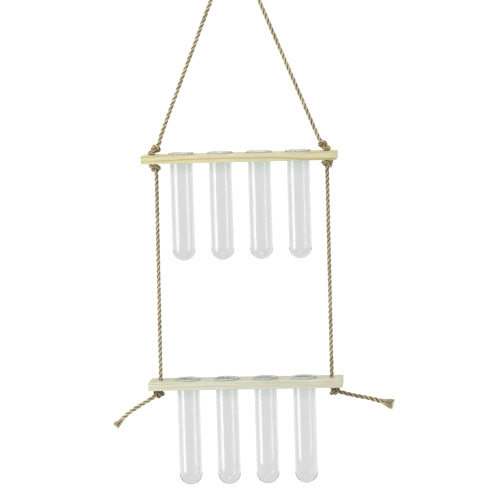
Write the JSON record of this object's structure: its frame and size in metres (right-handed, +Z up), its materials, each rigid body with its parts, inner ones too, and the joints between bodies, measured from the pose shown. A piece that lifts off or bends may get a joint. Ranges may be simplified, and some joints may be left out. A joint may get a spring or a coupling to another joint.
{
  "type": "test tube vase",
  "caption": "Hanging two-tier vase: round-bottomed glass test tubes lift out of drilled wooden bars strung one above the other on a knotted jute rope.",
  "frame": {"origin": "the hang point: where the top bend of the rope rests on a hook", "axes": "+Z up, +X along the bars to the viewer's right, +Y towards the wall behind"},
  "size_m": [0.3093, 0.037, 0.5784],
  "materials": {
    "pine": "sanded, unvarnished",
    "glass": "clear, fire-polished rim",
    "jute": "three-strand twisted jute"
  },
  "bodies": {
    "hanging_rope": {"hanging_rope": "jute"},
    "upper_tier": {"upper_bar": "pine", "left_top_knot": "jute", "right_top_knot": "jute", "left_under_knot": "jute", "right_under_knot": "jute"},
    "lower_tier": {"lower_bar": "pine", "left_side_rope": "jute", "right_side_rope": "jute", "left_end_knot": "jute", "right_end_knot": "jute", "left_tail": "jute", "right_tail": "jute"},
    "upper_tube_1": {"upper_tube_1": "glass"},
    "upper_tube_2": {"upper_tube_2": "glass"},
    "upper_tube_3": {"upper_tube_3": "glass"},
    "upper_tube_4": {"upper_tube_4": "glass"},
    "lower_tube_1": {"lower_tube_1": "glass"},
    "lower_tube_2": {"lower_tube_2": "glass"},
    "lower_tube_3": {"lower_tube_3": "glass"},
    "lower_tube_4": {"lower_tube_4": "glass"}
  },
  "joints": [
    {"name": "upper_tier_swing", "type": "hinge", "parent": "hanging_rope", "child": "upper_tier", "pos_m": [0, 0, -0.20021], "axis": [1, 0, 0], "range_deg": [-20, 20]},
    {"name": "lower_tier_swing", "type": "hinge", "parent": "upper_tier", "child": "lower_tier", "pos_m": [0, 0, -0.23638], "axis": [1, 0, 0], "range_deg": [-20, 20]},
    {"name": "upper_tube_1_lift", "type": "slide", "parent": "upper_tier", "child": "upper_tube_1", "axis": [0, 0, 1], "range_m": [0, 0.024]},
    {"name": "upper_tube_2_lift", "type": "slide", "parent": "upper_tier", "child": "upper_tube_2", "axis": [0, 0, 1], "range_m": [0, 0.116]},
    {"name": "upper_tube_3_lift", "type": "slide", "parent": "upper_tier", "child": "upper_tube_3", "axis": [0, 0, 1], "range_m": [0, 0.116]},
    {"name": "upper_tube_4_lift", "type": "slide", "parent": "upper_tier", "child": "upper_tube_4", "axis": [0, 0, 1], "range_m": [0, 0.024]},
    {"name": "lower_tube_1_lift", "type": "slide", "parent": "lower_tier", "child": "lower_tube_1", "axis": [0, 0, 1], "range_m": [0, 0.116]},
    {"name": "lower_tube_2_lift", "type": "slide", "parent": "lower_tier", "child": "lower_tube_2", "axis": [0, 0, 1], "range_m": [0, 0.116]},
    {"name": "lower_tube_3_lift", "type": "slide", "parent": "lower_tier", "child": "lower_tube_3", "axis": [0, 0, 1], "range_m": [0, 0.116]},
    {"name": "lower_tube_4_lift", "type": "slide", "parent": "lower_tier", "child": "lower_tube_4", "axis": [0, 0, 1], "range_m": [0, 0.116]}
  ]
}
